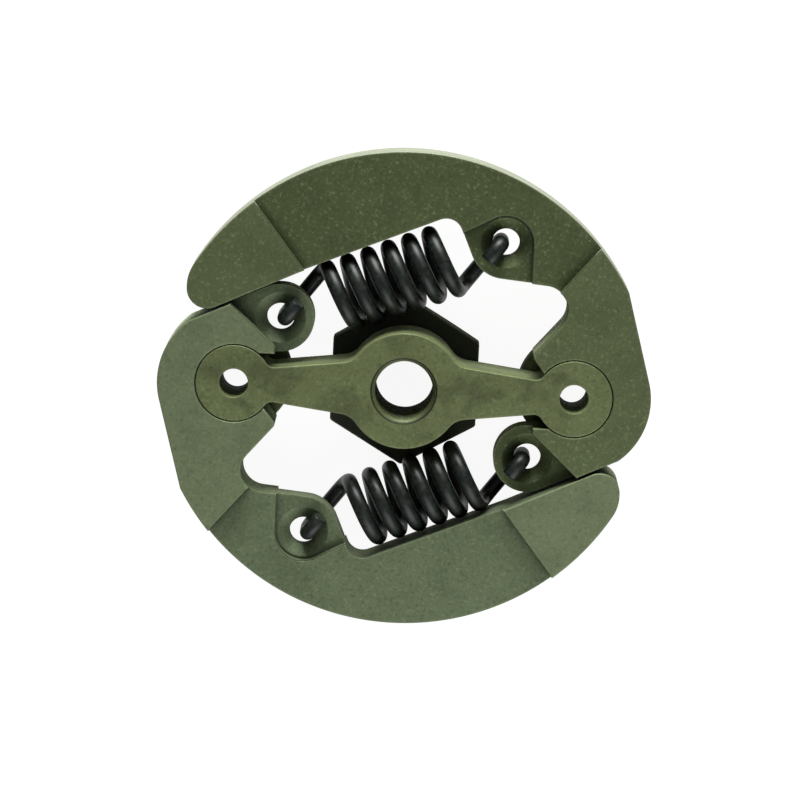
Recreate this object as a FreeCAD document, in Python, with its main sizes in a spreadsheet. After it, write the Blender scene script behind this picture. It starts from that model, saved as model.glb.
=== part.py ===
import FreeCAD, Part
import math
import os

import Sketcher
from FreeCAD import Placement, Rotation, Vector

# Two-shoe centrifugal clutch of a chainsaw, lying on the back face of its hub.
# +Z is the crankshaft's axis and points out of the side with the flush boss, X runs
# along the two arms, and the origin is on the axis at the hub's back face.
doc = FreeCAD.newDocument("chainsaw_clutch")

# Driving sizes, in millimetres and degrees
sizes = {
    # hub with its two arms
    "hubLength": 11.0,
    "hexFlats": 17.0,
    "hexLength": 2.9,
    "hexChamferHeight": 0.76,
    "bossDiameter": 13.4,
    "boreDiameter": 6.65,
    "boreMouth": 7.5,
    "armRoot": 6.1,
    "armNeck": 4.0,
    "armRootFillet": 2.5,
    "armNeckFillet": 1.0,
    "pivotSpacing": 39.1,
    "lobeDiameter": 8.8,
    "spannerHole": 3.3,
    "flangeDiameter": 13.0,
    "flangeBack": 1.7,
    "flangeClearance": 0.1,
    # shoes
    "shoeThickness": 7.4,
    "middleStep": 1.4,
    "plateStep": 2.5,
    "plateThickness": 3.0,
    "socketClearance": 0.1,
    "shoeGap": 0.3,
    "frictionRadius": 28.86,
    "frictionCentreX": -0.01,
    "frictionCentreY": -1.5,
    "heelAngle": 29.1,
    "toeAngle": 151.5,
    "heelRadius": 8.82,
    "heelFlatAngle": 13.7,
    "toeTipRound": 4.5,
    "toeLand": 0.3,
    "toeEdgeAngle": 25.2,
    "toeEdgeX": -12.6,
    "toeEdgeY": 13.1,
    "innerEdgeAngle": 22.9,
    "slotX": 5.0,
    "slotRound": 1.9,
    "padX": 10.9,
    "padY": 17.35,
    "padRadius": 4.15,
    "padRimRadius": 3.2,
    "padRimAngle": 28.0,
    "pocketX": 21.1,
    "pocketY": 12.3,
    "pocketRound": 2.7,
    "hornX": 14.55,
    "hornY": 4.6,
    "hornRound": 0.4,
    "socketMouthAngle": 142.0,
    "earX": 14.58,
    "earY": -7.5,
    "heelStepX": 17.5,
    "heelStepY": 12.3,
    "heelStepAngle": 49.9,
    "toeStepX": -12.1,
    "toeStepY": 13.4,
    "toeStepAngle": 128.5,
    "earStepX": 15.0,
    "earStepY": -4.3,
    "earStepAngle": 317.5,
    "earStepRound": 0.6,
    "hookHole": 3.2,
    "hookMouth": 5.6,
    "hookMouthDepth": 0.9,
    "hookBackMouth": 4.6,
    "hookBackMouthDepth": 0.4,
    # springs
    "wireDiameter": 1.8,
    "coilDiameter": 7.2,
    "coilPitch": 2.48,
    "coilTurns": 5.5,
    "coilDepth": 4.5,
    "coilBend": 1.9,
    "hookBend": 1.0,
    "hookClearance": 0.1,
    "hookBack": 0.51,
    "hookAside": 0.17,
    "hookTip": 2.4,
    "hookRise": 0.4,
}

sheet = doc.addObject("Spreadsheet::Sheet", "Sizes")
for row, (alias, number) in enumerate(sizes.items(), start=1):
    sheet.set("A%d" % row, alias)
    sheet.set("B%d" % row, str(number))
    sheet.setAlias("B%d" % row, alias)
doc.recompute()


def size(alias):
    """The size that the sheet holds under this name."""
    return float(sheet.get(alias))


def polar(centre, radius, degrees):
    """The point at this radius and angle about a centre."""
    angle = math.radians(degrees)
    return centre + Vector(radius * math.cos(angle), radius * math.sin(angle), 0)


def angleOf(point, centre):
    """The angle in degrees of a point seen from a centre."""
    return math.degrees(math.atan2(point.y - centre.y, point.x - centre.x))


def tangentPoint(outside, centre, radius, side):
    """Where the line from an outside point touches a circle, on the left (1) or right (-1) of it."""
    reach = (outside - centre).Length
    swing = math.degrees(math.acos(radius / reach))
    return polar(centre, radius, angleOf(outside, centre) + side * swing)


def arc(centre, radius, start, end):
    """An arc turning anticlockwise from one angle to the other."""
    circle = Part.Circle(centre, Vector(0, 0, 1), radius)
    return Part.ArcOfCircle(circle, math.radians(start), math.radians(end))


def meeting(first, firstDegrees, second, secondDegrees):
    """Where two lines meet, each given by a point and an angle."""
    along = polar(Vector(), 1, firstDegrees)
    across = polar(Vector(), 1, secondDegrees)
    gap = second - first
    travel = (gap.x * across.y - gap.y * across.x) / (along.x * across.y - along.y * across.x)
    return first + along * travel


def roundedRun(points, rounds):
    """Straight runs through the points, with tangent arcs of the given radii at the inner ones."""
    pieces = []
    here = points[0]
    for corner, before, after, radius in zip(points[1:-1], points, points[2:], rounds):
        backward = (before - corner).normalize()
        forward = (after - corner).normalize()
        turn = math.pi - backward.getAngle(forward)
        if radius > 0 and turn > 1e-3:
            setback = radius * math.tan(turn / 2)
            inward = (backward + forward).normalize()
            middle = corner + inward * (radius / math.cos(turn / 2) - radius)
            start = corner + backward * setback
            end = corner + forward * setback
            pieces.append(Part.LineSegment(here, start))
            pieces.append(Part.Arc(start, middle, end))
            here = end
        else:
            pieces.append(Part.LineSegment(here, corner))
            here = corner
    pieces.append(Part.LineSegment(here, points[-1]))
    return pieces


def planeOf(body, role):
    """One of the body's own origin planes."""
    return [feature for feature in body.Origin.OriginFeatures if feature.Role == role][0]


def newBody(name, placement):
    body = doc.addObject("PartDesign::Body", name)
    body.Label = name
    body.Placement = placement
    return body


def newSketch(body, name, height, pieces=(), plane="XY_Plane"):
    """A sketch on the body's own plane, lifted to a height of the sheet."""
    sketch = body.newObject("Sketcher::SketchObject", name)
    sketch.AttachmentSupport = [(planeOf(body, plane), "")]
    sketch.MapMode = "FlatFace"
    if height:
        sketch.setExpression("AttachmentOffset.Base.z", height)
    if pieces:
        sketch.addGeometry(list(pieces), False)
    return sketch


def addCircle(sketch, x, y, diameter):
    """A circle whose centre and diameter follow expressions of the sheet."""
    index = sketch.addGeometry(Part.Circle(Vector(1, 1, 0), Vector(0, 0, 1), 1), False)
    for kind, expression in (("DistanceX", x), ("DistanceY", y)):
        place = sketch.addConstraint(Sketcher.Constraint(kind, -1, 1, index, 3, 1.0))
        sketch.setExpression("Constraints[%d]" % place, expression)
    width = sketch.addConstraint(Sketcher.Constraint("Diameter", index, 2.0))
    sketch.setExpression("Constraints[%d]" % width, diameter)


def pad(body, name, sketch, length):
    feature = body.newObject("PartDesign::Pad", name)
    feature.Profile = sketch
    feature.setExpression("Length", length)
    doc.recompute()
    return feature


def pocket(body, name, sketch, depth, upward=False):
    """A pocket from the sketch downward, or upward, that must take material away."""
    before = body.Shape.Volume
    feature = body.newObject("PartDesign::Pocket", name)
    feature.Profile = sketch
    feature.Reversed = upward
    feature.setExpression("Length", depth)
    doc.recompute()
    if body.Shape.Volume > before - 1e-3:
        raise ValueError(name + " cuts nothing")
    return feature


def coneCut(body, name, x, y, z, bottom, top, height):
    """A cone taken away about an upright axis, from radius bottom to radius top."""
    cone = body.newObject("PartDesign::SubtractiveCone", name)
    cone.AttachmentSupport = [(planeOf(body, "XY_Plane"), "")]
    cone.MapMode = "FlatFace"
    cone.setExpression("AttachmentOffset.Base.x", x)
    cone.setExpression("AttachmentOffset.Base.y", y)
    cone.setExpression("AttachmentOffset.Base.z", z)
    cone.setExpression("Radius1", bottom)
    cone.setExpression("Radius2", top)
    cone.setExpression("Height", height)
    doc.recompute()
    return cone


def filletUprights(body, name, radius, wanted):
    """A fillet on the upright edges whose X and Y the test accepts."""
    base = body.Tip
    names = []
    for index, edge in enumerate(base.Shape.Edges, start=1):
        ends = [vertex.Point for vertex in edge.Vertexes]
        if len(ends) == 2 and (ends[0] - ends[1]).cross(Vector(0, 0, 1)).Length < 1e-5:
            if abs(ends[0].z - ends[1].z) > 1 and wanted(ends[0]):
                names.append("Edge%d" % index)
    feature = body.newObject("PartDesign::Fillet", name)
    feature.Base = (base, names)
    feature.setExpression("Radius", radius)
    doc.recompute()
    return feature


lobeX = size("pivotSpacing") / 2
lobeCentre = Vector(lobeX, 0, 0)
lobeRadius = size("lobeDiameter") / 2
bossRadius = size("bossDiameter") / 2
padHole = Vector(size("padX"), size("padY"), 0)
earHole = Vector(size("earX"), size("earY"), 0)
halfTurn = Rotation(Vector(0, 0, 1), 180)

# the shoes are flush with the hub's front, and their plates and the flanges lie behind it
shoeBack = "Sizes.hubLength - Sizes.shoeThickness"
armBack = shoeBack + " - Sizes.flangeClearance"
plateFront = "Sizes.hubLength - Sizes.plateStep"
plateBack = plateFront + " - Sizes.plateThickness"


# Hub: one sintered piece with the rear hexagon, the threaded boss and the two arms
def hubSpider():
    body = newBody("hub_spider", Placement())

    corner = size("hexFlats") / math.sqrt(3)
    corners = [polar(Vector(), corner, 30 + 60 * side) for side in range(7)]
    hexagon = newSketch(body, "hexOutline", "", roundedRun(corners, [0] * 5))
    pad(body, "hexPad", hexagon, "Sizes.hexLength")

    # the hexagon's rear corners are turned off at a shallow angle
    flat = size("hexFlats") / 2
    beyond = 2 * corner - flat
    cut = [Vector(flat, 0, 0), Vector(beyond, 0, 0), Vector(beyond, 2 * size("hexChamferHeight"), 0)]
    cut.append(cut[0])
    profile = newSketch(body, "hexChamferProfile", "", roundedRun(cut, [0, 0]), "XZ_Plane")
    groove = body.newObject("PartDesign::Groove", "hexChamferGroove")
    groove.Profile = profile
    groove.ReferenceAxis = (profile, ["V_Axis"])
    groove.Angle = 360
    doc.recompute()

    boss = newSketch(body, "bossOutline", "")
    addCircle(boss, "0", "0", "Sizes.bossDiameter")
    pad(body, "bossPad", boss, "Sizes.hubLength")

    # the arms taper in a straight line from the boss to the neck at the lobe
    root = size("armRoot") / 2
    neck = size("armNeck") / 2
    taper = (root - neck) / (lobeX - lobeRadius - bossRadius)
    inside = bossRadius / 2
    wide = root + taper * (bossRadius - inside)
    narrow = neck - taper * lobeRadius
    quarter = [(lobeX, narrow), (inside, wide), (-inside, wide), (-lobeX, narrow)]
    ring = [Vector(x, y, 0) for x, y in quarter] + [Vector(-x, -y, 0) for x, y in quarter]
    ring.append(ring[0])
    arms = newSketch(body, "armOutline", armBack, roundedRun(ring, [0] * 7))
    pad(body, "armPad", arms, "Sizes.shoeThickness + Sizes.flangeClearance")
    for name, x in (("left", "-Sizes.pivotSpacing / 2"), ("right", "Sizes.pivotSpacing / 2")):
        lobe = newSketch(body, name + "LobeOutline", armBack)
        addCircle(lobe, x, "0", "Sizes.lobeDiameter")
        pad(body, name + "LobePad", lobe, "Sizes.shoeThickness + Sizes.flangeClearance")

    def atBoss(point):
        return abs(math.hypot(point.x, point.y) - bossRadius) < 0.01 and abs(point.y) < root + 1

    def atLobe(point):
        return abs(math.hypot(abs(point.x) - lobeX, point.y) - lobeRadius) < 0.01

    filletUprights(body, "armRootFillets", "Sizes.armRootFillet", atBoss)
    filletUprights(body, "armNeckFillets", "Sizes.armNeckFillet", atLobe)

    # a round flange behind each lobe carries the shoe
    flanges = newSketch(body, "flangeCircles", "Sizes.flangeBack")
    addCircle(flanges, "-Sizes.pivotSpacing / 2", "0", "Sizes.flangeDiameter")
    addCircle(flanges, "Sizes.pivotSpacing / 2", "0", "Sizes.flangeDiameter")
    pad(body, "flangePad", flanges, armBack + " - Sizes.flangeBack")

    # threaded bore at its minor diameter, opened at both ends, and the two spanner holes
    bore = newSketch(body, "boreCircle", "Sizes.hubLength")
    addCircle(bore, "0", "0", "Sizes.boreDiameter")
    pocket(body, "borePocket", bore, "Sizes.hubLength")
    mouth = "(Sizes.boreMouth - Sizes.boreDiameter) / 2"
    coneCut(body, "frontBoreMouth", "0", "0", "Sizes.hubLength - " + mouth,
            "Sizes.boreDiameter / 2", "Sizes.boreMouth / 2", mouth)
    coneCut(body, "backBoreMouth", "0", "0", "0",
            "Sizes.boreMouth / 2", "Sizes.boreDiameter / 2", mouth)
    holes = newSketch(body, "spannerCircles", "Sizes.hubLength")
    addCircle(holes, "-Sizes.pivotSpacing / 2", "0", "Sizes.spannerHole")
    addCircle(holes, "Sizes.pivotSpacing / 2", "0", "Sizes.spannerHole")
    pocket(body, "spannerHoles", holes, "Sizes.hubLength - Sizes.flangeBack")
    return body


# Outline of the shoe that pivots on the right-hand lobe, anticlockwise from its heel
def shoeOutline():
    frictionCentre = Vector(size("frictionCentreX"), size("frictionCentreY"), 0)
    friction = size("frictionRadius")
    heelTop = polar(frictionCentre, friction, size("heelAngle"))

    # the toe's tip is an arc that touches the friction arc and the toe's end
    tip = size("toeTipRound")
    endX = polar(frictionCentre, friction, size("toeAngle")).x
    across = endX + tip - frictionCentre.x
    tipCentre = frictionCentre + Vector(across, math.sqrt((friction - tip) ** 2 - across ** 2), 0)
    tipAngle = angleOf(tipCentre, frictionCentre)
    pieces = [arc(frictionCentre, friction, size("heelAngle"), tipAngle), arc(tipCentre, tip, tipAngle, 180)]

    # the rest of the toe's end, the inner edge along the spring, and the slot's end beside the pad
    toeEdge = Vector(size("toeEdgeX"), size("toeEdgeY"), 0)
    toeTop = Vector(endX, tipCentre.y, 0)
    toeCorner = meeting(toeEdge, size("toeEdgeAngle"), toeTop, 90)
    turn = math.radians(90 + size("toeEdgeAngle"))
    toeRound = (toeTop.y - toeCorner.y - size("toeLand")) / math.tan(turn / 2)
    slotCorner = meeting(toeEdge, size("innerEdgeAngle"), Vector(size("slotX"), 0, 0), 90)
    padLeft = tangentPoint(slotCorner, padHole, size("padRadius"), 1)
    inner = [toeTop, toeCorner, toeEdge, slotCorner, padLeft]
    pieces += roundedRun(inner, [toeRound, 0, size("slotRound")])

    # round underside of the pad, the concave pocket and the horn over the socket
    pocketCorner = Vector(size("pocketX"), size("pocketY"), 0)
    padBottom = tangentPoint(pocketCorner, padHole, size("padRadius"), -1)
    pieces.append(arc(padHole, size("padRadius"), angleOf(padLeft, padHole), angleOf(padBottom, padHole)))
    socket = lobeRadius + size("socketClearance")
    horn = Vector(size("hornX"), size("hornY"), 0)
    upperLip = polar(lobeCentre, socket, size("socketMouthAngle"))
    pieces += roundedRun([padBottom, pocketCorner, horn, upperLip], [size("pocketRound"), size("hornRound")])

    # the ear just clears the other shoe's toe, whose edge is this one's turned half round
    edge = polar(Vector(), 1, size("toeEdgeAngle"))
    otherEdge = earHole + toeEdge
    earRadius = edge.x * otherEdge.y - edge.y * otherEdge.x - size("shoeGap")
    earTop = earHole + Vector(0, earRadius, 0)
    lipY = earTop.y
    lowerLip = Vector(lobeX - math.sqrt(socket ** 2 - lipY ** 2), lipY, 0)
    pieces.append(arc(lobeCentre, socket, angleOf(lowerLip, lobeCentre), size("socketMouthAngle")))
    pieces.append(Part.LineSegment(lowerLip, earTop))
    earLow = polar(earHole, earRadius, size("toeEdgeAngle") - 90)
    pieces.append(arc(earHole, earRadius, 90, size("toeEdgeAngle") + 270))

    # straight edge past the other toe, then the round heel and its flat
    heel = size("heelRadius")
    ahead = (lobeCentre - earLow).dot(edge)
    aside = (lobeCentre - earLow - edge * ahead).Length
    heelLow = earLow + edge * (ahead + math.sqrt(heel ** 2 - aside ** 2))
    pieces.append(Part.LineSegment(earLow, heelLow))
    pieces.append(arc(lobeCentre, heel, angleOf(heelLow, lobeCentre), size("heelFlatAngle")))
    pieces.append(Part.LineSegment(polar(lobeCentre, heel, size("heelFlatAngle")), heelTop))
    return pieces


# Region between the two steps on the shoe's front, open past both of its edges
def middleRegion():
    heelStep = Vector(size("heelStepX"), size("heelStepY"), 0)
    toeStep = Vector(size("toeStepX"), size("toeStepY"), 0)
    beyond = size("frictionRadius")
    inside = 0.5
    ring = [polar(heelStep, -inside, size("heelStepAngle")), polar(heelStep, beyond, size("heelStepAngle")),
            Vector(0, 3 * beyond, 0), polar(toeStep, beyond, size("toeStepAngle")),
            polar(toeStep, -inside, size("toeStepAngle"))]
    below = size("padY") - size("padRadius") - inside
    ring.append(Vector(0, min(below, ring[0].y, ring[-1].y), 0))
    ring.append(ring[0])
    return roundedRun(ring, [0] * (len(ring) - 2))


# Region of the sunken pad round the upper spring hole
def padRegion():
    rim = size("padRimRadius")
    start = padHole + Vector(rim, 0, 0)
    below = start - Vector(0, size("padRadius") + 1, 0)
    rimEnd = polar(padHole, rim, size("padRimAngle") + 90)
    outer = meeting(rimEnd, size("padRimAngle"), Vector(size("slotX"), 0, 0), 90)
    pieces = [Part.LineSegment(below, start), arc(padHole, rim, 0, size("padRimAngle") + 90)]
    pieces += roundedRun([rimEnd, outer, Vector(outer.x, below.y, 0), below], [0, 0])
    return pieces


# Region of the sunken ear beside the raised heel
def earRegion():
    step = Vector(size("earStepX"), size("earStepY"), 0)
    beyond = size("heelRadius")
    top = Vector(step.x, 0, 0)
    low = polar(step, 2 * beyond, size("earStepAngle"))
    left = size("earX") - beyond
    ring = [top, step, low, Vector(left, low.y, 0), Vector(left, 0, 0), top]
    return roundedRun(ring, [size("earStepRound"), 0, 0, 0])


# Shoe: one sintered piece with raised ends, a lower middle and two thin hook plates
def clutchShoe(name, placement):
    body = newBody(name, placement)
    outline = newSketch(body, name + "Outline", shoeBack, shoeOutline())
    pad(body, name + "Pad", outline, "Sizes.shoeThickness")
    middle = newSketch(body, name + "Middle", "Sizes.hubLength", middleRegion())
    pocket(body, name + "MiddlePocket", middle, "Sizes.middleStep")
    backStep = "Sizes.shoeThickness - Sizes.plateStep - Sizes.plateThickness"
    for place, region in (("Pad", padRegion), ("Ear", earRegion)):
        front = newSketch(body, name + place + "Front", "Sizes.hubLength", region())
        pocket(body, name + place + "FrontPocket", front, "Sizes.plateStep")
        back = newSketch(body, name + place + "Back", shoeBack, region())
        pocket(body, name + place + "BackPocket", back, backStep, True)

    # hook holes through both plates, opened wide at the front and a little at the back
    holes = newSketch(body, name + "HookCircles", plateFront)
    addCircle(holes, "Sizes.padX", "Sizes.padY", "Sizes.hookHole")
    addCircle(holes, "Sizes.earX", "Sizes.earY", "Sizes.hookHole")
    pocket(body, name + "HookHoles", holes, "Sizes.plateThickness")
    for place in ("pad", "ear"):
        x = "Sizes.%sX" % place
        y = "Sizes.%sY" % place
        coneCut(body, name + place + "Mouth", x, y, plateFront + " - Sizes.hookMouthDepth",
                "Sizes.hookHole / 2", "Sizes.hookMouth / 2", "Sizes.hookMouthDepth")
        coneCut(body, name + place + "BackMouth", x, y, plateBack,
                "Sizes.hookBackMouth / 2", "Sizes.hookHole / 2", "Sizes.hookBackMouthDepth")
    return body


def sweptWire(pieces):
    """Round wire along a run of pieces."""
    path = Part.Wire([piece.toShape() for piece in pieces])
    start = pieces[0].StartPoint
    heading = (pieces[0].EndPoint - start).normalize()
    section = Part.Wire([Part.Circle(start, heading, size("wireDiameter") / 2).toShape()])
    return path.makePipeShell([section], True, False)


# Spring: a right-handed coil whose ends hook through an ear of one shoe and the pad of the other
def hookSpring(name, turn):
    coilRadius = size("coilDiameter") / 2
    pitch = size("coilPitch")
    height = pitch * size("coilTurns")
    helix = Part.makeHelix(pitch, height, coilRadius)
    alongX = Rotation(Vector(0, 1, 0), Vector(0, 0, 1), Vector(1, 0, 0), "XYZ")
    helix.Placement = Placement(Vector(-height / 2, 0, 0), alongX)
    coilEdge = helix.Edges[0]
    begin = coilEdge.valueAt(coilEdge.FirstParameter)
    heading = coilEdge.tangentAt(coilEdge.FirstParameter)
    section = Part.Wire([Part.Circle(begin, heading, size("wireDiameter") / 2).toShape()])
    coil = helix.makePipeShell([section], True, True)

    # each end leaves behind the coil, passes its plate, comes up the hole and turns back over it
    otherEar = halfTurn.multVec(earHole)
    span = padHole - otherEar
    wire = size("wireDiameter") / 2
    above = size("coilDepth") - size("plateStep") + wire + size("hookClearance")
    behind = above - size("plateThickness") - 2 * (wire + size("hookClearance"))
    foot = coilEdge.valueAt(coilEdge.LastParameter)
    leaving = coilEdge.tangentAt(coilEdge.LastParameter)
    knee = foot + leaving * (behind / leaving.z)
    rising = Vector(span.Length / 2 - size("hookBack"), size("hookAside"), behind)
    arm = (rising - knee).normalize()
    over = Vector(rising.x, rising.y, above)
    tip = over - arm * size("hookTip") + Vector(0, 0, size("hookRise"))
    bends = [size("coilBend"), size("hookBend"), size("hookBend")]
    hook = sweptWire(roundedRun([foot, knee, rising, over, tip], bends))
    otherHook = hook.copy()
    otherHook.Placement = Placement(Vector(), halfTurn).multiply(otherHook.Placement)

    middle = (padHole + otherEar) * 0.5 + Vector(0, 0, size("hubLength") - size("coilDepth"))
    lie = Placement(middle, Rotation(Vector(0, 0, 1), math.degrees(math.atan2(span.y, span.x))))
    spring = doc.addObject("Part::Feature", name)
    spring.Label = name
    spring.Shape = coil.fuse([hook, otherHook])
    spring.Placement = Placement(Vector(), turn).multiply(lie)
    return spring


parts = [
    hubSpider(),
    clutchShoe("shoe_a", Placement(Vector(), halfTurn)),
    clutchShoe("shoe_b", Placement()),
    hookSpring("spring_upper", Rotation()),
    hookSpring("spring_lower", halfTurn),
]
doc.recompute()

for item in doc.Objects:
    if "Invalid" in item.State or "Error" in item.State:
        raise ValueError(item.Name + " failed")
os.makedirs("parts", exist_ok=True)
for item in parts:
    if item.Shape.isNull() or not item.Shape.isValid() or len(item.Shape.Solids) != 1:
        raise ValueError(item.Label + " is not one sound solid")
    print(item.Label, round(item.Shape.Volume, 2), item.Shape.BoundBox)
    item.Shape.exportStep("parts/%s.step" % item.Label)
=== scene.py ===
import math

import bmesh
import bpy
from mathutils import Matrix, Vector


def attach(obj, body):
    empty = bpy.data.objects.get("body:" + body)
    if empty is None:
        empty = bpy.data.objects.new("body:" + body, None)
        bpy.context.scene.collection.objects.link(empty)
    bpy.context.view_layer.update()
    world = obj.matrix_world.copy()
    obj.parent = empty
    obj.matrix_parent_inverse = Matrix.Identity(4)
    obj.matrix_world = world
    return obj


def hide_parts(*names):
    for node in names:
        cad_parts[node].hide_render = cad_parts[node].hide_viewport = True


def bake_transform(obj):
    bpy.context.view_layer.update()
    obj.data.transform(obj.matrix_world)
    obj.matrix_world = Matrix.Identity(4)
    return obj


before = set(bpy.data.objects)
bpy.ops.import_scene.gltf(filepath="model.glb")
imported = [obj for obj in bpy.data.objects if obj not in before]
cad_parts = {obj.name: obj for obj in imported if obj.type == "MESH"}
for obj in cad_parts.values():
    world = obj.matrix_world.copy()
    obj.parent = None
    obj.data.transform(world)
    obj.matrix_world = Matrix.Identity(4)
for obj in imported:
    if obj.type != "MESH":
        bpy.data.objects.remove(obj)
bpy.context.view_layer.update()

# Chainsaw clutch lying on its hub: two sintered shoes on a sintered hub, held in by two black springs.
# Shapes are worked out in millimetres and turned to metres when a mesh is made.
millimetre = 0.001


# plane geometry

def polar(centre, radius, degrees):
    angle = math.radians(degrees)
    return Vector((centre[0] + radius * math.cos(angle), centre[1] + radius * math.sin(angle)))


def angleOf(point, centre):
    return math.degrees(math.atan2(point[1] - centre[1], point[0] - centre[0]))


def arcPoints(centre, radius, start, end, spacing=0.35):
    count = max(2, math.ceil(abs(math.radians(end - start)) * radius / spacing))
    return [polar(centre, radius, start + (end - start) * step / count) for step in range(count + 1)]


def tangentPoint(outside, centre, radius, side):
    # where the line from an outside point touches a circle, on its left (1) or right (-1)
    swing = math.degrees(math.acos(radius / (Vector(outside) - Vector(centre)).length))
    return polar(centre, radius, angleOf(outside, centre) + side * swing)


def meeting(first, firstDegrees, second, secondDegrees):
    along = polar((0, 0), 1, firstDegrees)
    across = polar((0, 0), 1, secondDegrees)
    gap = Vector(second) - Vector(first)
    travel = (gap.x * across.y - gap.y * across.x) / (along.x * across.y - along.y * across.x)
    return Vector(first) + along * travel


def roundedRun(points, rounds, spacing=0.2):
    # straight runs with tangent arcs of the given radii at the inner points, in the plane or in space
    path = [Vector(points[0])]
    for corner, before, after, radius in zip(points[1:-1], points, points[2:], rounds):
        corner = Vector(corner)
        backward = (Vector(before) - corner).normalized()
        forward = (Vector(after) - corner).normalized()
        turn = math.pi - backward.angle(forward)
        if radius == 0 or turn < 1e-3:
            path.append(corner)
            continue
        start = corner + backward * radius * math.tan(turn / 2)
        centre = corner + (backward + forward).normalized() * radius / math.cos(turn / 2)
        outward = start - centre
        heading = -backward * radius
        count = max(3, math.ceil(turn * radius / spacing))
        for step in range(count + 1):
            angle = turn * step / count
            path.append(centre + outward * math.cos(angle) + heading * math.sin(angle))
    path.append(Vector(points[-1]))
    return path


def tidyRing(points, closest=0.02):
    ring = []
    for point in points:
        if not ring or (point - ring[-1]).length > closest:
            ring.append(point)
    if (ring[0] - ring[-1]).length < closest:
        ring.pop()
    return ring


# meshes

def newObject(name, bm):
    bmesh.ops.recalc_face_normals(bm, faces=bm.faces)
    mesh = bpy.data.meshes.new(name)
    bm.to_mesh(mesh)
    bm.free()
    piece = bpy.data.objects.new(name, mesh)
    bpy.context.scene.collection.objects.link(piece)
    return piece


def ringAt(bm, outline, height):
    return [bm.verts.new((p[0] * millimetre, p[1] * millimetre, height * millimetre)) for p in outline]


def joinRings(bm, below, above, smooth=False):
    for i in range(len(below)):
        j = (i + 1) % len(below)
        bm.faces.new((below[i], below[j], above[j], above[i])).smooth = smooth


def closedSkin(name, bm, rings):
    # walls from each ring to the next, and a face at each end
    for below, above in zip(rings, rings[1:]):
        joinRings(bm, below, above)
    bm.faces.new(rings[0])
    bm.faces.new(rings[-1])
    return newObject(name, bm)


def inset(ring, amount):
    # the ring moved in by an amount, every corner mitred
    twist = 1 if sum(a[0] * b[1] - a[1] * b[0] for a, b in zip(ring, ring[1:] + ring[:1])) > 0 else -1
    moved = []
    for before, here, after in zip(ring[-1:] + ring[:-1], ring, ring[1:] + ring[:1]):
        first = Vector((here[0] - before[0], here[1] - before[1])).normalized()
        second = Vector((after[0] - here[0], after[1] - here[1])).normalized()
        normal = Vector((-first.y - second.y, first.x + second.x)).normalized() * twist
        share = max(0.5, normal.dot(Vector((-first.y, first.x)) * twist))
        moved.append(Vector((here[0], here[1])) + normal * amount / share)
    return moved


def stacked(name, ring, levels):
    # upright block whose outline is moved in by an amount at each height
    bm = bmesh.new()
    rings = [ringAt(bm, inset(ring, amount) if amount else ring, height) for height, amount in levels]
    return closedSkin(name, bm, rings)


def rim(edge, turns=(0, 0.52, 1.05, 1.57)):
    # depth and inset along a rounded rim, from the face to the wall in thirds of a quarter turn
    return [(edge * (1 - math.cos(turn)), edge * (1 - math.sin(turn))) for turn in turns]


def softPrism(name, ring, low, high, edge, softLow=True):
    # upright block whose rims are rounded
    bottom = [(low + depth, amount) for depth, amount in rim(edge)] if softLow else [(low, 0)]
    top = [(high - depth, amount) for depth, amount in reversed(rim(edge))]
    return stacked(name, ring, bottom + top)


pastFace = 1    # mm that a cutter stands out of the face it cuts


def frontCutter(name, ring, low, face, edge):
    # cuts from a face down to a level and leaves the face's rim rounded
    flare = [(face - edge + depth, -amount) for depth, amount in reversed(rim(edge))]
    return stacked(name, ring, [(low, 0)] + flare + [(face + pastFace, -edge)])


def backCutter(name, ring, face, high, edge):
    # the same from the back
    flare = [(face + edge - depth, -amount) for depth, amount in rim(edge)]
    return stacked(name, ring, [(face - pastFace, -edge)] + flare + [(high, 0)])


def turned(name, centre, profile, sides=64):
    # closed solid of revolution about an upright axis, from radius and height pairs
    bm = bmesh.new()
    rings = []
    for radius, height in profile:
        outline = [polar(centre, radius, 360 * i / sides) for i in range(sides)]
        rings.append(ringAt(bm, outline, height))
    return closedSkin(name, bm, rings)


def applyModifiers(piece):
    graph = bpy.context.evaluated_depsgraph_get()
    old = piece.data
    piece.data = bpy.data.meshes.new_from_object(piece.evaluated_get(graph))
    piece.modifiers.clear()
    bpy.data.meshes.remove(old)


def combine(piece, others, operation):
    for other in others:
        boolean = piece.modifiers.new("cut", "BOOLEAN")
        boolean.operation = operation
        boolean.solver = "EXACT"
        boolean.object = other
        applyModifiers(piece)
        bpy.data.objects.remove(other)


def cleanMesh(piece, closest=0.01):
    # drops the slivers under a hundredth of a millimetre that the cuts leave
    bm = bmesh.new()
    bm.from_mesh(piece.data)
    bmesh.ops.remove_doubles(bm, verts=bm.verts, dist=closest * millimetre)
    bmesh.ops.dissolve_degenerate(bm, edges=bm.edges, dist=closest * millimetre)
    bm.to_mesh(piece.data)
    bm.free()


def shadeSurfaces(piece):
    # curved walls and rims run smooth, level faces and broad plane walls stay flat
    piece.data.set_sharp_from_angle(angle=math.radians(35))
    broad = 4 * millimetre ** 2
    level = 0.999
    for polygon in piece.data.polygons:
        polygon.use_smooth = abs(polygon.normal.z) < level and polygon.area < broad


# materials

def linear(code):
    # sRGB hex to the linear colour that the shader takes
    channels = [int(code[i:i + 2], 16) / 255 for i in (1, 3, 5)]
    return tuple(c / 12.92 if c <= 0.04045 else ((c + 0.055) / 1.055) ** 2.4 for c in channels) + (1,)


def addNode(tree, kind, settings=None, links=None):
    # links names each input and the (node, output) that feeds it
    node = tree.nodes.new(kind)
    for name, value in (settings or {}).items():
        if isinstance(name, int) or name in node.inputs:
            node.inputs[name].default_value = value
        else:
            setattr(node, name, value)
    for name, (source, output) in (links or {}).items():
        tree.links.new(source.outputs[output], node.inputs[name])
    return node


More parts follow.
